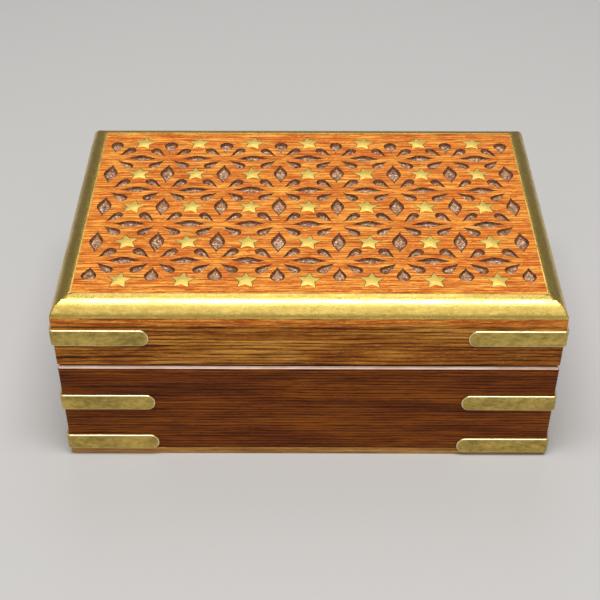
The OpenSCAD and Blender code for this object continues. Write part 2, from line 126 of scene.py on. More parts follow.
def only(obj):
    """Selects obj and nothing else."""
    for other in bpy.context.selected_objects:
        other.select_set(False)
    obj.select_set(True)
    bpy.context.view_layer.objects.active = obj


def edit(obj, kind="FACE"):
    """Opens obj in edit mode with nothing selected."""
    only(obj)
    bpy.ops.object.mode_set(mode="EDIT")
    bpy.ops.mesh.select_mode(type=kind)
    bpy.ops.mesh.select_all(action="DESELECT")


def close():
    """Goes back from edit mode to object mode."""
    bpy.ops.object.mode_set(mode="OBJECT")


def pick(obj, part, test):
    """Selects the faces, edges or verts of obj, open in edit mode, that pass the test."""
    mesh = bmesh.from_edit_mesh(obj.data)
    mesh.normal_update()
    for item in getattr(mesh, part):
        item.select_set(bool(test(item)))
    mesh.select_flush_mode()
    bmesh.update_edit_mesh(obj.data)


def settle(obj, name):
    """Names a new primitive and puts its place into its mesh."""
    obj.name = obj.data.name = name
    only(obj)
    bpy.ops.object.transform_apply(location=True, rotation=True, scale=True)
    return obj


def block(name, low, high):
    """A block from its lowest corner to its highest."""
    low, high = Vector(low), Vector(high)
    bpy.ops.mesh.primitive_cube_add(size=1, location=(low + high) / 2, scale=high - low)
    return settle(bpy.context.object, name)


def rod(name, radius, length, middle):
    """A round rod along X."""
    bpy.ops.mesh.primitive_cylinder_add(
        vertices=32, radius=radius, depth=length, location=middle, rotation=(0, math.pi / 2, 0))
    return settle(bpy.context.object, name)


def sized(disc, depth, above):
    """Extrudes a flat outline at z = 0 to a solid from the depth up to the height above."""
    edit(disc)
    bpy.ops.mesh.select_all(action="SELECT")
    bpy.ops.mesh.extrude_region_move(TRANSFORM_OT_translate={"value": (0, 0, above + depth)})
    bpy.ops.mesh.select_all(action="SELECT")
    bpy.ops.transform.translate(value=(0, 0, -depth))
    bpy.ops.mesh.normals_make_consistent(inside=False)
    close()
    return disc


def round_arrises(board, test):
    """Rounds the arrises of a board that pass the test."""
    edit(board, "EDGE")
    pick(board, "edges", test)
    bpy.ops.mesh.bevel(offset=CORNER_R, segments=4, affect="EDGES")
    close()


def finish_with(obj, kind, **settings):
    """Adds a modifier with its settings and applies it."""
    only(obj)
    modifier = obj.modifiers.new(kind.title(), kind)
    for key, value in settings.items():
        setattr(modifier, key, value)
    bpy.ops.object.modifier_apply(modifier=modifier.name)


def carve(obj, cutter):
    """Cuts cutter out of obj and throws the cutter away."""
    finish_with(obj, "BOOLEAN", operation="DIFFERENCE", solver="EXACT", object=cutter)
    bpy.data.objects.remove(cutter)


def plane_cut(obj, point, away):
    """Saws off what lies past the point, on the side that away looks to."""
    away = Vector(away).normalized()
    size = 0.5  # far larger than any board
    bpy.ops.mesh.primitive_cube_add(size=size, location=Vector(point) + away * size / 2,
                                    rotation=away.to_track_quat("Z", "Y").to_euler())
    carve(obj, settle(bpy.context.object, "waste"))


def smooth(obj, angle):
    """Shades obj smooth, but for its edges sharper than the angle in degrees."""
    only(obj)
    bpy.ops.object.shade_smooth_by_angle(angle=math.radians(angle))


def soften(obj, width=ARRIS, steps=2, angle=35, edge_slot=-1):
    """Takes the sharpness off every edge, as sandpaper or a file does; the last argument is the slot
    the rounded edges get."""
    finish_with(obj, "BEVEL", width=width, segments=steps, limit_method="ANGLE",
                angle_limit=math.radians(angle), use_clamp_overlap=True, material=edge_slot)
    smooth(obj, 50)
    finish_with(obj, "WEIGHTED_NORMAL", keep_sharp=True)


def copied(obj, name, matrix):
    """A copy of obj with its own mesh, moved, turned or mirrored by the matrix."""
    twin = obj.copy()
    twin.data = obj.data.copy()
    twin.name = twin.data.name = name
    bpy.context.scene.collection.objects.link(twin)
    twin.data.transform(matrix)
    if matrix.determinant() < 0:
        twin.data.flip_normals()
    return twin


def joined(objs, name):
    """All the objects as one mesh."""
    only(objs[0])
    for obj in objs:
        obj.select_set(True)
    bpy.ops.object.join()
    result = bpy.context.object
    result.name = result.data.name = name
    return result


def done(piece, body, slot, *nodes):
    """Puts a finished piece under the empty of its body and hides the parts of the model it replaces."""
    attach(piece, body)
    if nodes:
        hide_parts(*nodes)
    return piece


# ---------- materials ----------

# the growth rings cross each board at a slant, so that they also show as lines on its narrow faces
RING_SLANT = 0.5
GRAIN_TURN = {"front": (RING_SLANT, 0, 0), "side": (0, RING_SLANT, math.pi / 2),
              "top": (math.pi / 2 + RING_SLANT, 0, 0)}
# how far a whole step of the seed moves a pattern, in the pattern's own units
SEED_STEP = (1.7, 3.1, 0.9)
# the width of one band of growth, in the pattern's own units
BAND = 0.314


def linear(hexa):
    """An sRGB hex colour as linear RGBA."""
    parts = [int(hexa[i:i + 2], 16) / 255 for i in (1, 3, 5)]
    return tuple(c / 12.92 if c <= 0.04045 else ((c + 0.055) / 1.055) ** 2.4 for c in parts) + (1.0,)


def fill(node, sockets):
    """Gives a node's sockets their numbers, colours or links."""
    for key, value in sockets.items():
        if isinstance(value, bpy.types.NodeSocket):
            node.id_data.links.new(value, node.inputs[key])
        else:
            node.inputs[key].default_value = value


def add(tree, kind, sockets=None, out=0, stops=(), **settings):
    """Adds a node with its settings and links, and gives one of its outputs. The stops of a ramp
    are places, each with a colour, or with a number for a grey."""
    made = tree.nodes.new("ShaderNode" + kind)
    for key, value in settings.items():
        setattr(made, key, value)
    fill(made, sockets or {})
    if stops:
        elements = made.color_ramp.elements
        while len(elements) < len(stops):
            elements.new(0.5)
        for element, (place, colour) in zip(elements, stops):
            element.position = place
            element.color = (colour, colour, colour, 1) if isinstance(colour, float) else colour
    return made.outputs[out]


def drawn_out(tree, sizes, seed, face="front"):
    """Object coordinates turned so that x runs along the grain and z across the growth lines,
    then scaled so that one unit is as long as sizes says, in metres."""
    coords = add(tree, "TexCoord", out="Object")
    turned = add(tree, "Mapping", {"Vector": coords, "Rotation": GRAIN_TURN[face]})
    place = tuple(seed * step for step in SEED_STEP)
    return add(tree, "Mapping", {"Vector": turned, "Location": place,
                                 "Scale": tuple(1 / size for size in sizes)})


def mottle(tree, sizes, seed, face="front", **sockets):
    """Uneven spots or streaks, as long, deep and wide as sizes says."""
    return add(tree, "TexNoise", {"Vector": drawn_out(tree, sizes, seed, face), "Scale": 1.0,
                                  "Detail": 3.0, "Roughness": 0.55, **sockets})


def growth_lines(tree, spacing, seed, face, wander):
    """Dark growth lines that run along the board, now closer and now further apart."""
    period = spacing / BAND
    sizes = (period * 14, period * 2, period)
    return add(tree, "TexWave", {
        "Vector": drawn_out(tree, sizes, seed, face), "Scale": 1.0, "Distortion": wander, "Detail": 3.0,
        "Detail Scale": 1.6, "Detail Roughness": 0.6}, "Fac", wave_type="BANDS", bands_direction="Z")


def stained(tree, body, colour, pattern, stops):
    """The body with a colour laid over it, as strongly as the stops say along the pattern."""
    strength = add(tree, "ValToRGB", {"Fac": pattern}, stops=stops)
    return add(tree, "Mix", {0: strength, 6: body, 7: colour}, 2, data_type="RGBA")


def shaded(tree, body, pattern, stops, strength):
    """The body made darker or lighter along the pattern, by the factors in the stops."""
    factor = add(tree, "ValToRGB", {"Fac": pattern}, stops=stops)
    return add(tree, "Mix", {0: strength, 6: body, 7: factor}, 2, data_type="RGBA", blend_type="MULTIPLY")


def new_material(name):
    """A new material, with its tree and its shader."""
    material = bpy.data.materials.new(name)
    material.use_nodes = True
    return material, material.node_tree, material.node_tree.nodes["Principled BSDF"]


def sheesham(name, colours, face, seed, spacing, wander, amount, rough=0.5, fleck=0.4, patch=70 * MM):
    """Sheesham, planed, sanded and waxed: warm brown with dark wavy growth lines along the board,
    fine fibre lines and short open pores. colours are pale, middle, deep and line."""
    material, tree, shader = new_material(name)
    pale, middle, deep, line = (linear(colour) for colour in colours)
    broad = mottle(tree, (patch, patch / 8, patch / 8), seed, face, Detail=5.0, Roughness=0.6, Distortion=0.5)
    streaks = mottle(tree, (30 * MM, 0.9 * MM, 0.9 * MM), seed + 3, face, Detail=4.0, Roughness=0.65)
    # fibres and pores are about 0.1 mm wide; drawn three and four times as wide so that they show
    fibres = mottle(tree, (7 * MM, 0.3 * MM, 0.3 * MM), seed + 5, face, Detail=2.0)
    pores = mottle(tree, (4 * MM, 0.4 * MM, 0.4 * MM), seed + 7, face, Detail=1.0)
    # flecks of lighter fibre where the grain dips in and out of the face
    flecks = mottle(tree, (3.6 * MM, 0.9 * MM, 0.9 * MM), seed + 9, face, Roughness=0.7, Distortion=1.2)
    rings = growth_lines(tree, spacing, seed, face, wander)

    body = add(tree, "ValToRGB", {"Fac": broad}, stops=[(0.36, pale), (0.5, middle), (0.64, deep)])
    body = stained(tree, body, deep, streaks, [(0.5, 0.0), (0.7, 0.8)])
    body = stained(tree, body, pale, streaks, [(0.3, 0.55), (0.46, 0.0)])
    body = stained(tree, body, pale, flecks, [(0.55, 0.0), (0.68, fleck)])
    body = stained(tree, body, deep, flecks, [(0.32, fleck), (0.45, 0.0)])
    # the growth lines are fainter where a pale streak crosses them
    faint = add(tree, "ValToRGB", {"Fac": streaks}, stops=[(0.3, 0.35), (0.6, 1.0)])
    lines = add(tree, "ValToRGB", {"Fac": rings}, stops=[(0.5, 0.0), (0.95, amount)])
    lines = add(tree, "Math", {0: lines, 1: faint}, operation="MULTIPLY")
    body = add(tree, "Mix", {0: lines, 6: body, 7: line}, 2, data_type="RGBA")
    body = shaded(tree, body, fibres, [(0.3, 0.6), (0.7, 1.35)], 0.6)
    body = stained(tree, body, line, pores, [(0.28, 0.6), (0.36, 0.0)])

    gloss = add(tree, "Math", {0: fibres, 1: 0.16, 2: rough - 0.08}, operation="MULTIPLY_ADD")
    pits = add(tree, "ValToRGB", {"Fac": pores}, stops=[(0.28, 1.0), (0.36, 0.0)])
    relief = add(tree, "Math", {0: fibres, 1: 0.5}, operation="MULTIPLY")
    relief = add(tree, "Math", {0: relief, 1: pits}, operation="SUBTRACT")
    bump = add(tree, "Bump", {"Strength": 0.3, "Distance": 0.05 * MM, "Height": relief})
    fill(shader, {"Base Color": body, "Roughness": gloss, "Specular IOR Level": 0.1, "Normal": bump})
    return material


def rubbed_arris_painted_highlight():
    """Edges of the boards, rubbed pale by handling, with the wax built up to a shine; the pale colour is also
    a painted highlight.
    """
    material, tree, shader = new_material("sheesham rubbed arris, waxed")
    wear_and_highlight = mottle(tree, (12 * MM, 2 * MM, 2 * MM), 3.0, Detail=4.0)
    body = add(tree, "ValToRGB", {"Fac": wear_and_highlight}, stops=[(0.35, linear("#c9977a")), (0.65, linear("#f3d2bc"))])
    fill(shader, {"Base Color": body, "Roughness": 0.3, "Specular IOR Level": 0.9, "Coat Weight": 1.0,
                  "Coat Roughness": 0.2})
    return material


def chiselled_wood(name, colours, seed):
    """Wood the chisel has torn: loose fibres, pale and dark, with dust in them, so dull and grey."""
    material, tree, shader = new_material(name)
    low, middle, high = (linear(colour) for colour in colours)
    torn = mottle(tree, (1.1 * MM, 0.8 * MM, 0.8 * MM), seed, Detail=4.0, Roughness=0.7, Distortion=0.8)
    chips = mottle(tree, (2.4 * MM, 1.8 * MM, 1.8 * MM), seed + 5)
    body = add(tree, "ValToRGB", {"Fac": torn},
               stops=[(0.38, low), (0.47, middle), (0.54, middle), (0.64, high)])
    body = stained(tree, body, low, chips, [(0.32, 0.8), (0.48, 0.0)])
    bump = add(tree, "Bump", {"Strength": 0.9, "Distance": 0.3 * MM, "Height": torn})
    fill(shader, {"Base Color": body, "Roughness": 0.8, "Normal": bump})
    return material


def brass(name, bright, dull, tarnish, rough, face, seed, relief=0.3):
    """Brass sheet or strip, rubbed bright along its length and tarnished since: fine scratches,
    olive patches and small dark specks."""
    material, tree, shader = new_material(name)
    patches = mottle(tree, (14 * MM, 7 * MM, 7 * MM), seed, face, Detail=5.0, Roughness=0.65)
    specks = mottle(tree, (0.9 * MM, 0.7 * MM, 0.7 * MM), seed + 2, face, Roughness=0.7)
    rubs = mottle(tree, (5 * MM, 1.1 * MM, 1.1 * MM), seed + 4, face, Detail=4.0, Roughness=0.7,
                  Distortion=0.8)
    blots = mottle(tree, (2.6 * MM, 1.8 * MM, 1.8 * MM), seed + 6, face, Detail=4.0, Roughness=0.7)

    patches = add(tree, "Mix", {0: 0.5, 2: patches, 3: blots})
    film = add(tree, "ValToRGB", {"Fac": patches}, stops=[(0.4, 0.0), (0.6, tarnish)])
    specked = add(tree, "ValToRGB", {"Fac": specks}, stops=[(0.58, 0.0), (0.72, tarnish / 2)])
    film = add(tree, "Math", {0: film, 1: specked}, operation="ADD")
    body = add(tree, "Mix", {0: film, 6: linear(bright), 7: linear(dull)}, 2, data_type="RGBA")
    body = shaded(tree, body, rubs, [(0.3, 0.65), (0.7, 1.2)], 0.4)

    gloss = add(tree, "Math", {0: film, 1: 0.22, 2: rough}, operation="MULTIPLY_ADD")
    gloss = add(tree, "Math", {0: rubs, 1: 0.08, 2: gloss}, operation="MULTIPLY_ADD")
    height = add(tree, "Mix", {0: 0.5, 2: rubs, 3: specks})
    bump = add(tree, "Bump", {"Strength": relief, "Distance": 0.1 * MM, "Height": height})
    fill(shader, {"Base Color": body, "Metallic": 1.0, "Roughness": gloss, "Normal": bump})
    return material


def iron():
    """Iron brads, drawn and cut: dull grey with a little rust."""
    material, tree, shader = new_material("iron drawn, dull")
    rust = mottle(tree, (0.9 * MM, 0.9 * MM, 0.9 * MM), 2.0, Detail=4.0)
    body = add(tree, "ValToRGB", {"Fac": rust}, stops=[(0.4, linear("#5d5a57")), (0.7, linear("#6b4a35"))])
    fill(shader, {"Base Color": body, "Metallic": 0.85, "Roughness": 0.5})
    return material


def velvet():
    """Short cotton velvet, glued over card: deep red, lighter where the pile leans."""
    material, tree, shader = new_material("velvet cotton, glued")
    lean = mottle(tree, (22 * MM, 14 * MM, 14 * MM), 6.0, Detail=4.0, Roughness=0.6)
    # tufts are 0.1 mm wide; drawn four times as wide so that they show
    pile = mottle(tree, (0.5 * MM, 0.4 * MM, 0.4 * MM), 8.0)
    body = add(tree, "ValToRGB", {"Fac": lean}, stops=[(0.35, linear("#4a0713")), (0.65, linear("#7a1022"))])
    body = shaded(tree, body, pile, [(0.3, 0.6), (0.7, 1.3)], 0.5)
    bump = add(tree, "Bump", {"Strength": 0.5, "Distance": 0.25 * MM, "Height": pile})
    fill(shader, {"Base Color": body, "Roughness": 0.95, "Sheen Weight": 0.6, "Sheen Roughness": 0.35,
                  "Sheen Tint": linear("#ff9fa8"), "Normal": bump})
    return material


def painted_floor():
    """The studio floor: matt paint, which gives no highlight."""
    material, _, shader = new_material("studio floor, matt paint")
    fill(shader, {"Base Color": linear("#b9b7b4"), "Roughness": 0.9})
    return material


TOP_WOOD = sheesham("sheesham sanded and waxed, top", ("#f0ab4a", "#d67d2a", "#b4521a", "#7c300d"), "top",
                    2.0, 1.3 * MM, wander=9.0, amount=0.7, fleck=1.0, patch=14 * MM)
RAW_WOOD = chiselled_wood("sheesham chiselled raw, pocket floors", ("#4a2816", "#a87a54", "#f4dcc4"), 4.0)
# the walls' dark colours are partly the chiselled wood's own and partly painted shade inside the pockets
CUT_WOOD_AND_PAINTED_SHADE = chiselled_wood("sheesham chiselled, pocket walls", ("#381605", "#6b3a18", "#9c683a"), 14.0)
# the rubbed arris is pale partly from wear and partly as a painted highlight
WORN_ARRIS_PAINTED_HIGHLIGHT = rubbed_arris_painted_highlight()
LID_WOOD = {face: sheesham("sheesham waxed, lid " + face, ("#dc9a40", "#ab6219", "#7a3b0d", "#1c0a02"),
                           face, seed, 1.7 * MM, wander=7.0, amount=0.9, fleck=0.5)
            for face, seed in (("front", 5.0), ("side", 6.0))}
BASE_WOOD = {face: sheesham("sheesham waxed, base " + face, ("#96500e", "#7a3a08", "#5c2804", "#1c0a01"),
                            face, seed, 1.4 * MM, wander=6.0, amount=0.85)
             for face, seed in (("front", 11.0), ("side", 12.0))}
BOTTOM_WOOD = sheesham("sapwood sawn, bottom", ("#c99350", "#b07c3e", "#8a5a28", "#5c3a18"), "front", 15.0,
                       2.2 * MM, wander=4.0, amount=0.5, rough=0.6)
TRIM_BRASS = {face: brass("brass sheet rubbed, edge trim " + face, "#f2d070", "#b09648", tarnish=0.6,
                          rough=0.17, face=face, seed=seed, relief=1.0)
              for face, seed in (("front", 1.0), ("side", 2.0))}
STRAP_BRASS = {face: brass("brass strip filed, straps " + face, "#d8bb66", "#75652c", tarnish=0.65,
                           rough=0.3, face=face, seed=seed, relief=0.6)
               for face, seed in (("front", 21.0), ("side", 22.0))}
STAR_BRASS = brass("brass sheet cut and filed, stars", "#f8dc7c", "#ccb45a", 0.6, 0.5, "top", 31.0)
# the filed edges are pale partly as bright fresh metal and partly as a painted highlight
FILED_BRASS_PAINTED_HIGHLIGHT = brass("brass filed edges, straps", "#fff2c4", "#e0cf90", 0.3, 0.3, "front", 26.0, relief=0.1)
HINGE_BRASS = brass("brass pressed, hinges", "#d8b860", "#8a7434", 0.5, 0.3, "front", 41.0)
IRON = iron()
VELVET = velvet()


# ---------- boards ----------

def rim_bevels(board, rim, up, bevel):
    """Bevels the outer arris along the rim of a wall board. up is 1 for the base, -1 for the lid."""
    across, down = bevel
    for x in SIDES:
        plane_cut(board, (x * HALF_W, 0, rim - up * down), (x * down, 0, up * across))
    plane_cut(board, (0, -HALF_D, rim - up * down), (0, -down, up * across))


def stop_bevel(board, up):
    """The back arris falls away from the hinge pin, so that the lid can turn back onto it."""
    rim = RIM if up > 0 else LID_RIM
    away = Vector((0, math.sin(STOP_SLOPE), up * math.cos(STOP_SLOPE)))
    plane_cut(board, (0, HINGE_Y - STOP_BACK, rim), away)


def hinge_seats(board):
    """Lets the leaves and knuckles of both hinges into a back board."""
    for side in ("left", "right"):
        low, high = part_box(side + "_hinge_base_leaf")
        middle = (low.x + high.x) / 2
        half = (high.x - low.x) / 2 + HINGE_PLAY
        carve(board, block("leaf seat", (middle - half, low.y - HINGE_PLAY, HINGE_Z - LEAF_T),
                           (middle + half, HINGE_Y, HINGE_Z + LEAF_T)))
        carve(board, rod("knuckle seat", KNUCKLE_SEAT_R, 2 * half + 4 * HINGE_PLAY,
                         (middle, HINGE_Y, HINGE_Z)))


def wall_board(node, up, material):
    """A front, back or side board, with its laps, its rim and its round corners."""
    low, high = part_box(node)
    board = block(node + "_board", low, high)
    body = "base" if up > 0 else "lid"
    rim, bevel = (RIM, BASE_BEVEL) if up > 0 else (LID_RIM, LID_BEVEL)
    long = high.x - low.x > high.y - low.y
    if long:
        back = high.y > 0
        lap = HALF_D - LAP if back else LAP - HALF_D
        for x in SIDES:
            carve(board, block("rebate", (min(x * INNER_W, x * 2 * HALF_W), min(lap, 0), low.z - MM),
                               (max(x * INNER_W, x * 2 * HALF_W), max(lap, 0), high.z + MM)))
        # all four arrises of the outer face
        face = HALF_D if back else -HALF_D
        round_arrises(board, lambda e: all(
            abs(v.co.y - face) < 1e-6 and abs(abs(v.co.x) - HALF_W) < 1e-6 for v in e.verts))
    rim_bevels(board, rim, up, bevel)
    if long and back:
        stop_bevel(board, up)
        hinge_seats(board)
    soften(board)
    board.data.materials.append(material["front" if long else "side"])
    if up > 0:
        # the slanting faces along the base's rim are rubbed, and painted pale as a highlight
        board.data.materials.append(WORN_ARRIS_PAINTED_HIGHLIGHT)
        for face in board.data.polygons:
            if 0.3 < face.normal.z < 0.97:
                face.material_index = 1
    return done(board, body, body + "_sheesham", node)


def bottom_board():
    """The thin board under the base, left as the saw cut it."""
    board = block("base_bottom_board", *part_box("base_bottom"))
    round_arrises(board, lambda e: abs(e.verts[0].co.z - e.verts[1].co.z) > MM)
    soften(board, BOTTOM_ARRIS)
    board.data.materials.append(BOTTOM_WOOD)
    return done(board, "base", "bottom_board", "base_bottom")


# ---------- the carved top board ----------

def drawn_circle(name, outline, sides):
    """A flat disc whose rim is drawn out to another outline: outline(angle) gives each point."""
    bpy.ops.mesh.primitive_circle_add(vertices=sides, radius=MM, fill_type="NGON")
    disc = settle(bpy.context.object, name)
    for vertex in disc.data.vertices:
        x, y = outline(math.atan2(vertex.co.y, vertex.co.x))
        vertex.co = (x, y, 0)
    return disc


def pocket_cutter(name, outline, sides, shallow):
    """The form of one pocket: low walls, a floor dished to the full depth, and ends that rise.
    shallow(x) tells how shallow the wall is there, from 0 to 1."""
    cutter = sized(drawn_circle(name, outline, sides), POCKET_WALL, MM)
    edit(cutter)
    pick(cutter, "faces", lambda f: f.normal.z < -0.9)
    bpy.ops.mesh.poke(offset=POCKET_DEPTH - POCKET_WALL)
    close()
    for vertex in cutter.data.vertices:
        if abs(vertex.co.z + POCKET_WALL) < 1e-6:
            vertex.co.z += (POCKET_WALL - POCKET_TIP) * shallow(vertex.co.x)
    for material in (TOP_WOOD, RAW_WOOD, CUT_WOOD_AND_PAINTED_SHADE):
        cutter.data.materials.append(material)
    # the poke left the floor in triangles; the walls take the dark wall material, painted shade
    for face in cutter.data.polygons:
        face.material_index = FLOOR_SLOT if len(face.vertices) == 3 else WALL_AND_PAINTED_SHADE_SLOT
    return cutter


def petal_cutter(tip, far, radius):
    """A petal along +X: half a disc at the far end, drawn out to a point at the tip."""
    centre = far - radius

    def outline(angle):
        if math.cos(angle) >= 0:
            return centre + radius * math.cos(angle), radius * math.sin(angle)
        t = -math.cos(angle)
        flank = radius * math.cos(t * math.pi / 2) ** FLANK_CURVE
        return centre - (centre - tip) * t, math.copysign(flank, math.sin(angle))

    def shallow(x):
        return max(0.0, (centre - x) / (centre - tip)) ** TIP_RISE

    return pocket_cutter("petal cutter", outline, 28, shallow)


def spindle_cutter(half_l, half_w, waist):
    """A spindle along X, sharp at both ends; a higher waist draws its ends out thinner."""

    def outline(angle):
        t = math.cos(angle)
        return half_l * t, math.copysign(half_w * math.cos(t * math.pi / 2) ** waist, math.sin(angle))

    return pocket_cutter("spindle cutter", outline, 32, lambda x: abs(x / half_l) ** TIP_RISE)


def star_outline(grow=0.0):
    """A five-pointed star with one point up, its points and notches that much further out."""

    def outline(angle):
        step = round(math.degrees(angle - math.pi / 2) / 36)
        return tuple((grow + (STAR_INNER_R if step % 2 else STAR_R)) * f(angle) for f in (math.cos, math.sin))

    return outline


def flower_places():
    """The middle of each flower, with its column and row."""
    for col in range(FLOWER_COLS):
        for row in range(FLOWER_ROWS):
            yield col, row, Vector(((col - (FLOWER_COLS - 1) / 2) * PITCH,
                                    (row - (FLOWER_ROWS - 1) / 2) * PITCH, TOP))


def star_places():
    """A matrix for each star, turned a little out of true as a hand sets it."""
    chance = random.Random(8)
    for col in range(STAR_COLS):
        for row in range(STAR_ROWS):
            middle = Vector(((col - (STAR_COLS - 1) / 2) * PITCH, (row - (STAR_ROWS - 1) / 2) * PITCH, TOP))
            turn = math.radians(chance.uniform(-STAR_TURN, STAR_TURN))
            yield Matrix.Translation(middle) @ Matrix.Rotation(turn, 4, "Z")


def pocket_cutters():
    """Every pocket of the lattice as one cutter, each a little out of true as a chisel leaves it."""
    chance = random.Random(3)
    petal = petal_cutter(PETAL_NEAR, PETAL_FAR, PETAL_R)
    drop = petal_cutter(DROP_NEAR, DROP_FAR, DROP_R)
    side = spindle_cutter(SIDE_HALF_L, SIDE_HALF_W, SIDE_WAIST)
    upright = spindle_cutter(UPRIGHT_HALF_L, UPRIGHT_HALF_W, UPRIGHT_WAIST)
    cutters = []
    pilots = []

    def cut(pattern, middle, turn, about):
        """Places one pocket; about is how far along it its own middle lies."""
        wander = Matrix.Rotation(math.radians(chance.uniform(-3.5, 3.5)), 4, "Z")
        stretch = Matrix.Diagonal((chance.uniform(0.95, 1.04), chance.uniform(0.9, 1.06), 1, 1))
        shift = Matrix.Translation((chance.uniform(-0.2, 0.2) * MM, chance.uniform(-0.2, 0.2) * MM, 0))
        own = Matrix.Translation((about, 0, 0))
        matrix = (Matrix.Translation(middle) @ shift @ Matrix.Rotation(turn, 4, "Z")
                  @ own @ wander @ stretch @ own.inverted())
        cutters.append(copied(pattern, "pocket", matrix))
        return matrix

    for col, row, middle in flower_places():
        for x in SIDES:
            for y in SIDES:
                if 0 <= col + x < FLOWER_COLS:
                    turn = math.atan2(y * math.sin(PETAL_ANGLE), x * math.cos(PETAL_ANGLE))
                    matrix = cut(petal, middle, turn, PETAL_MIDDLE)
                    if chance.random() < 0.4:
                        pilots.append(matrix @ Vector((PILOT_AT + chance.uniform(-0.6, 0.6) * MM,
                                                       chance.uniform(-0.6, 0.6) * MM, 0)))
        if col < FLOWER_COLS - 1:
            cut(side, middle + Vector((PITCH / 2, 0, 0)), 0, 0)
        if row < FLOWER_ROWS - 1:
            cut(upright, middle + Vector((0, PITCH / 2, 0)), math.pi / 2, 0)
        if row == 0:
            cut(drop, middle, -math.pi / 2, DROP_MIDDLE)
        if row == FLOWER_ROWS - 1:
            cut(drop, middle, math.pi / 2, DROP_MIDDLE)
    for pattern in (petal, drop, side, upright):
        bpy.data.objects.remove(pattern)
    return joined(cutters, "pocket cutters"), pilots


def paint_picked(obj, slot):
    """Gives the picked faces of obj, open in edit mode, the material in that slot."""
    for face in bmesh.from_edit_mesh(obj.data).faces:
        if face.select:
            face.material_index = slot


def rough_floors(panel, pilots):
    """Rounds the rims of the pockets, tears up their floors a little, as blunt chisel work is, and pricks
    them where the drill went in before the chisel; floor edges and pits get the walls' painted shade."""
    inside_x, inside_y = HALF_W - EDGE_R - MM / 2, HALF_D - EDGE_R - MM / 2

    def on_floor(vertex):
        return all(face.material_index == FLOOR_SLOT for face in vertex.link_faces)

    edit(panel, "EDGE")
    pick(panel, "edges", lambda e: all(
        abs(v.co.z - TOP) < 1e-6 and abs(v.co.x) < inside_x and abs(v.co.y) < inside_y for v in e.verts)
        and len(e.link_faces) == 2 and any(f.normal.z < 0.5 for f in e.link_faces))
    # the rims take the rubbed arris material, pale partly from wear and partly as a painted highlight
    bpy.ops.mesh.bevel(offset=POCKET_RIM, segments=2, affect="EDGES", clamp_overlap=True, material=ARRIS_SLOT)
    bpy.ops.mesh.select_mode(type="FACE")
    pick(panel, "faces", lambda f: f.material_index == FLOOR_SLOT)
    bpy.ops.mesh.subdivide(number_cuts=2)
    # painted shade: the edge of a floor gets the walls' dark colour, where floor meets wall
    pick(panel, "faces", lambda f: f.material_index == FLOOR_SLOT and any(
        near.material_index == WALL_AND_PAINTED_SHADE_SLOT for v in f.verts for near in v.link_faces))
    paint_picked(panel, WALL_AND_PAINTED_SHADE_SLOT)
    bpy.ops.mesh.select_mode(type="VERT")
    pick(panel, "verts", on_floor)
    bpy.ops.transform.vertex_random(offset=FLOOR_TEAR, uniform=0.5, normal=0.5, seed=5)
    pick(panel, "verts", lambda v: on_floor(v) and any(
        (v.co.xy - pilot.xy).length < PILOT_R for pilot in pilots))
    bpy.ops.transform.translate(value=(0, 0, -PILOT_DEPTH))
    # painted shade: the drilled pits get the walls' dark colour
    bpy.ops.mesh.select_mode(type="FACE")
    pick(panel, "faces", lambda f: f.material_index == FLOOR_SLOT
         and f.calc_center_median().z < TOP - POCKET_DEPTH - 0.6 * MM)
    paint_picked(panel, WALL_AND_PAINTED_SHADE_SLOT)
    close()


def carved_top():
    """The lid's top board: rounded along its top edges, carved, and seated for the stars."""
    panel = block("lid_panel_carved", panel_low, panel_high)
    edit(panel, "EDGE")
    pick(panel, "edges", lambda e: all(abs(v.co.z - TOP) < 1e-6 for v in e.verts))
    bpy.ops.mesh.bevel(offset=EDGE_R, segments=14, affect="EDGES")
    close()
    soften(panel, TOP_ARRIS)
    for material in (TOP_WOOD, RAW_WOOD, CUT_WOOD_AND_PAINTED_SHADE, WORN_ARRIS_PAINTED_HIGHLIGHT):
        panel.data.materials.append(material)
    cutters, pilots = pocket_cutters()
    carve(panel, cutters)

    seat = sized(drawn_circle("star seat", star_outline(STAR_SEAT_PLAY), 10), STAR_T, MM)
    seat.data.materials.append(TOP_WOOD)
    seats = [copied(seat, "seat", matrix) for matrix in star_places()]
    bpy.data.objects.remove(seat)
    carve(panel, joined(seats, "star seats"))

    rough_floors(panel, pilots)
    smooth(panel, 50)
    finish_with(panel, "WEIGHTED_NORMAL", keep_sharp=True)
    return done(panel, "lid", "carved_top", "lid_panel")


def star_inlays():
    """The brass stars, a hair proud of the wood, their upper edges filed."""
    star = sized(drawn_circle("star", star_outline(), 10), STAR_T - STAR_PROUD, STAR_PROUD)
    edit(star, "EDGE")
    pick(star, "edges", lambda e: all(abs(v.co.z - STAR_PROUD) < 1e-6 for v in e.verts))
    bpy.ops.mesh.bevel(offset=STAR_EDGE, segments=2, affect="EDGES")
    close()
    smooth(star, 50)
    stars = [copied(star, "star inlay", matrix) for matrix in star_places()]
    bpy.data.objects.remove(star)
    inlays = joined(stars, "lid_star_inlays")
    inlays.data.materials.append(STAR_BRASS)
    return done(inlays, "lid", "star_brass", "lid_stars")


# ---------- brass edge trim ----------

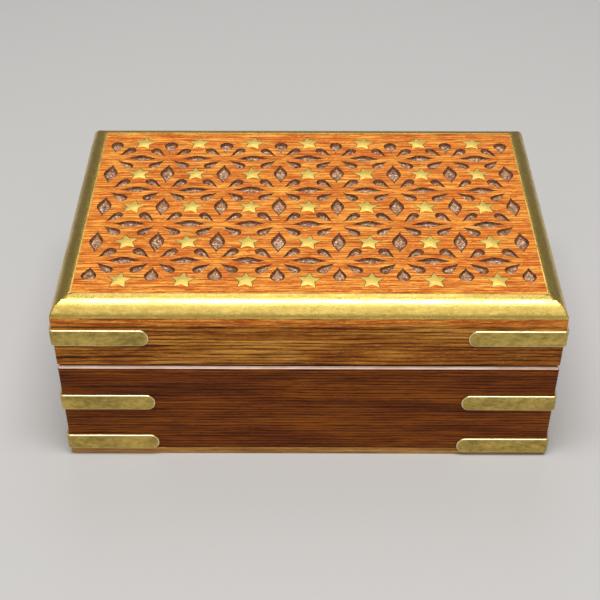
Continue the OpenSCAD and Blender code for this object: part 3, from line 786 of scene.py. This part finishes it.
def trim_bar(node, half_l, half_across, turn, material):
    """A strip of sheet bent over the back edge and mitred at both ends, then turned to its side."""
    outer, inner = EDGE_R + TRIM_PROUD, EDGE_R + TRIM_PROUD - TRIM_T
    centre = Vector((0, half_across - EDGE_R, TOP - EDGE_R))
    length = 2 * (half_l + 2 * MM)  # longer than the edge, to be mitred
    bpy.ops.mesh.primitive_grid_add(
        x_subdivisions=90, y_subdivisions=1, size=1, rotation=(math.pi / 2, 0, 0),
        location=centre + Vector((0, 0, (outer + inner) / 2)))
    strip = bpy.context.object
    strip.scale = (length, TRIM_T, 1)
    settle(strip, node + "_sheet")
    edit(strip)
    bpy.ops.mesh.select_all(action="SELECT")
    bpy.ops.mesh.spin(steps=18, angle=TRIM_SWEEP, center=centre, axis=(1, 0, 0), dupli=False)
    bpy.ops.mesh.select_all(action="SELECT")
    bpy.ops.mesh.remove_doubles(threshold=1e-6)
    bpy.ops.mesh.normals_make_consistent(inside=False)
    close()
    for x in SIDES:
        corner = Vector((x * (half_l - MITRE_GAP / math.sqrt(2)), half_across, TOP))
        plane_cut(strip, corner, (x, -1, 0))
    waves = bpy.data.textures.new("hand-bent unevenness", "CLOUDS")
    waves.noise_scale = 18 * MM
    finish_with(strip, "DISPLACE", texture=waves, texture_coords="LOCAL", strength=0.1 * MM, mid_level=0.75)
    finish_with(strip, "BEVEL", width=TRIM_EDGE, segments=2, limit_method="ANGLE",
                angle_limit=math.radians(50))
    smooth(strip, 40)
    strip.data.transform(Matrix.Rotation(turn, 4, "Z"))
    strip.data.materials.append(material)
    return done(strip, "lid", "trim_brass", node)


# ---------- corner straps ----------

def strap_pattern():
    """A strap round the corner at +X, +Y, middle height 0: two arms joined by a tight bend."""
    low = Vector((HALF_W - STRAP_REACH, HALF_D, -STRAP_W / 2))
    high = Vector((HALF_W - CORNER_R, HALF_D + STRAP_T, STRAP_W / 2))
    strap = block("strap pattern", low, high)
    for material in (STRAP_BRASS["front"], STRAP_BRASS["side"], FILED_BRASS_PAINTED_HIGHLIGHT):
        strap.data.materials.append(material)
    edit(strap)
    pick(strap, "faces", lambda f: f.normal.x > 0.9)
    bpy.ops.mesh.spin(steps=6, angle=math.pi / 2, center=(HALF_W - CORNER_R, HALF_D - CORNER_R, 0),
                      axis=(0, 0, 1), dupli=False)
    bpy.ops.mesh.extrude_region_move(
        TRANSFORM_OT_translate={"value": (0, CORNER_R - STRAP_REACH, 0)})
    bpy.ops.mesh.select_all(action="SELECT")
    bpy.ops.mesh.remove_doubles(threshold=1e-6)
    bpy.ops.mesh.normals_make_consistent(inside=False)
    # the rounded ends
    bpy.ops.mesh.select_mode(type="EDGE")
    pick(strap, "edges", lambda e: abs(abs(e.verts[0].co.z) - STRAP_W / 2) < 1e-6
         and (e.verts[0].co - e.verts[1].co).length < STRAP_T * 1.1
         and abs(e.verts[0].co.z - e.verts[1].co.z) < 1e-6
         and (all(abs(v.co.x - low.x) < 1e-6 for v in e.verts)
              or all(abs(v.co.y - (HALF_D - STRAP_REACH)) < 1e-6 for v in e.verts)))
    bpy.ops.mesh.bevel(offset=STRAP_END_R, segments=10, affect="EDGES")
    close()
    for face in strap.data.polygons:
        if face.center.x > HALF_W and face.center.y < HALF_D - CORNER_R:
            face.material_index = 1
    # the rounded edges take the filed brass, pale as fresh metal and as a painted highlight
    soften(strap, STRAP_EDGE, 3, 50, edge_slot=2)
    return strap


def corner_matrix(x, y, z):
    """Mirrors the strap to the corner at (x, y) and lifts it to its height."""
    return Matrix.Translation((0, 0, z)) @ Matrix.Diagonal((x, y, 1, 1))


def corner_straps():
    """Twelve straps: two at each corner of the base and one at each corner of the lid."""
    pattern = strap_pattern()
    for body, level in (("base", "low_strap"), ("base", "high_strap"), ("lid", "lid_strap")):
        for y, end in ((-1, "front"), (1, "back")):
            for x, side in ((-1, "left"), (1, "right")):
                node = f"{level}_{end}_{side}"
                low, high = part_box(node)
                strap = copied(pattern, node + "_strip", corner_matrix(x, y, (low.z + high.z) / 2))
                done(strap, body, "strap_brass", node)
    bpy.data.objects.remove(pattern)


# ---------- lining ----------

def velvet_pad(node, body):
    """Velvet over thin wadding and card, with soft edges."""
    low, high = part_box(node)
    pad = block(node + "_velvet", low, high)
    edit(pad, "EDGE")
    pick(pad, "edges", lambda e: True)
    bpy.ops.mesh.bevel(offset=min(high - low) * 0.42, segments=4, affect="EDGES")
    bpy.ops.mesh.select_all(action="SELECT")
    bpy.ops.mesh.subdivide(number_cuts=4)
    close()
    smooth(pad, 60)
    pad.data.materials.append(VELVET)
    return done(pad, body, "velvet", node)


# ---------- put together ----------

for part in ("front", "back", "left", "right"):
    wall_board("base_" + part, 1, BASE_WOOD)
    wall_board("lid_" + part, -1, LID_WOOD)
bottom_board()
carved_top()
star_inlays()
trim_bar("trim_back", HALF_W, HALF_D, 0, TRIM_BRASS["front"])
trim_bar("trim_front", HALF_W, HALF_D, math.pi, TRIM_BRASS["front"])
trim_bar("trim_left", HALF_D, HALF_W, math.pi / 2, TRIM_BRASS["side"])
trim_bar("trim_right", HALF_D, HALF_W, -math.pi / 2, TRIM_BRASS["side"])
corner_straps()
for node in ("lining_front", "lining_back", "lining_left", "lining_right"):
    velvet_pad(node, "base")
velvet_pad("floor_pad", "base")
velvet_pad("lid_pad", "lid")

# the metal fittings keep their own shape and get their finish
for node, obj in frame["nodes"].items():
    if "hinge" in node:
        finish = HINGE_BRASS
    elif "brads" in node:
        finish = IRON
    elif "strap_pins" in node:
        finish = STRAP_BRASS["front"]
    else:
        continue
    obj.data.materials.clear()
    obj.data.materials.append(finish)

# ---------- stage ----------

bpy.ops.mesh.primitive_plane_add(size=6)
floor = settle(bpy.context.object, "floor")
floor.data.materials.append(painted_floor())


def softbox(name, place, aim, width, depth, watts):
    """A rectangular lamp at a place, aimed at a point."""
    lamp = bpy.data.lights.new(name, "AREA")
    lamp.shape = "RECTANGLE"
    lamp.size, lamp.size_y = width, depth
    lamp.energy = watts
    obj = bpy.data.objects.new(name, lamp)
    bpy.context.scene.collection.objects.link(obj)
    obj.location = place
    obj.rotation_euler = (Vector(aim) - Vector(place)).to_track_quat("-Z", "Y").to_euler()


softbox("overhead", (0, -0.2, 1.2), (0, 0, 0.05), 0.9, 0.3, 13)
softbox("back panel", (0, 0.62, 0.95), (0, 0.1, 0.2), 0.68, 0.75, 2.4)
softbox("front panel", (0, -1.2, 0.75), (0, 0, 0.05), 1.6, 1.1, 4.9)
softbox("front strip", (0, -0.62, 1.0), (0, 0, 0.05), 1.3, 0.13, 1.0)

world = bpy.data.worlds.new("studio")
world.use_nodes = True
fill(world.node_tree.nodes["Background"], {"Color": linear("#d8d8dc"), "Strength": 0.3})
bpy.context.scene.world = world
bpy.context.scene.view_settings.view_transform = "Standard"

camera = bpy.data.objects.new("camera", bpy.data.cameras.new("camera"))
bpy.context.scene.collection.objects.link(camera)
camera.data.lens = 72.65
camera.location = (-2.1 * MM, -424.6 * MM, 384.3 * MM)
camera.rotation_euler = (math.radians(90 - 39.8), 0, math.radians(0.21))
bpy.context.scene.camera = camera
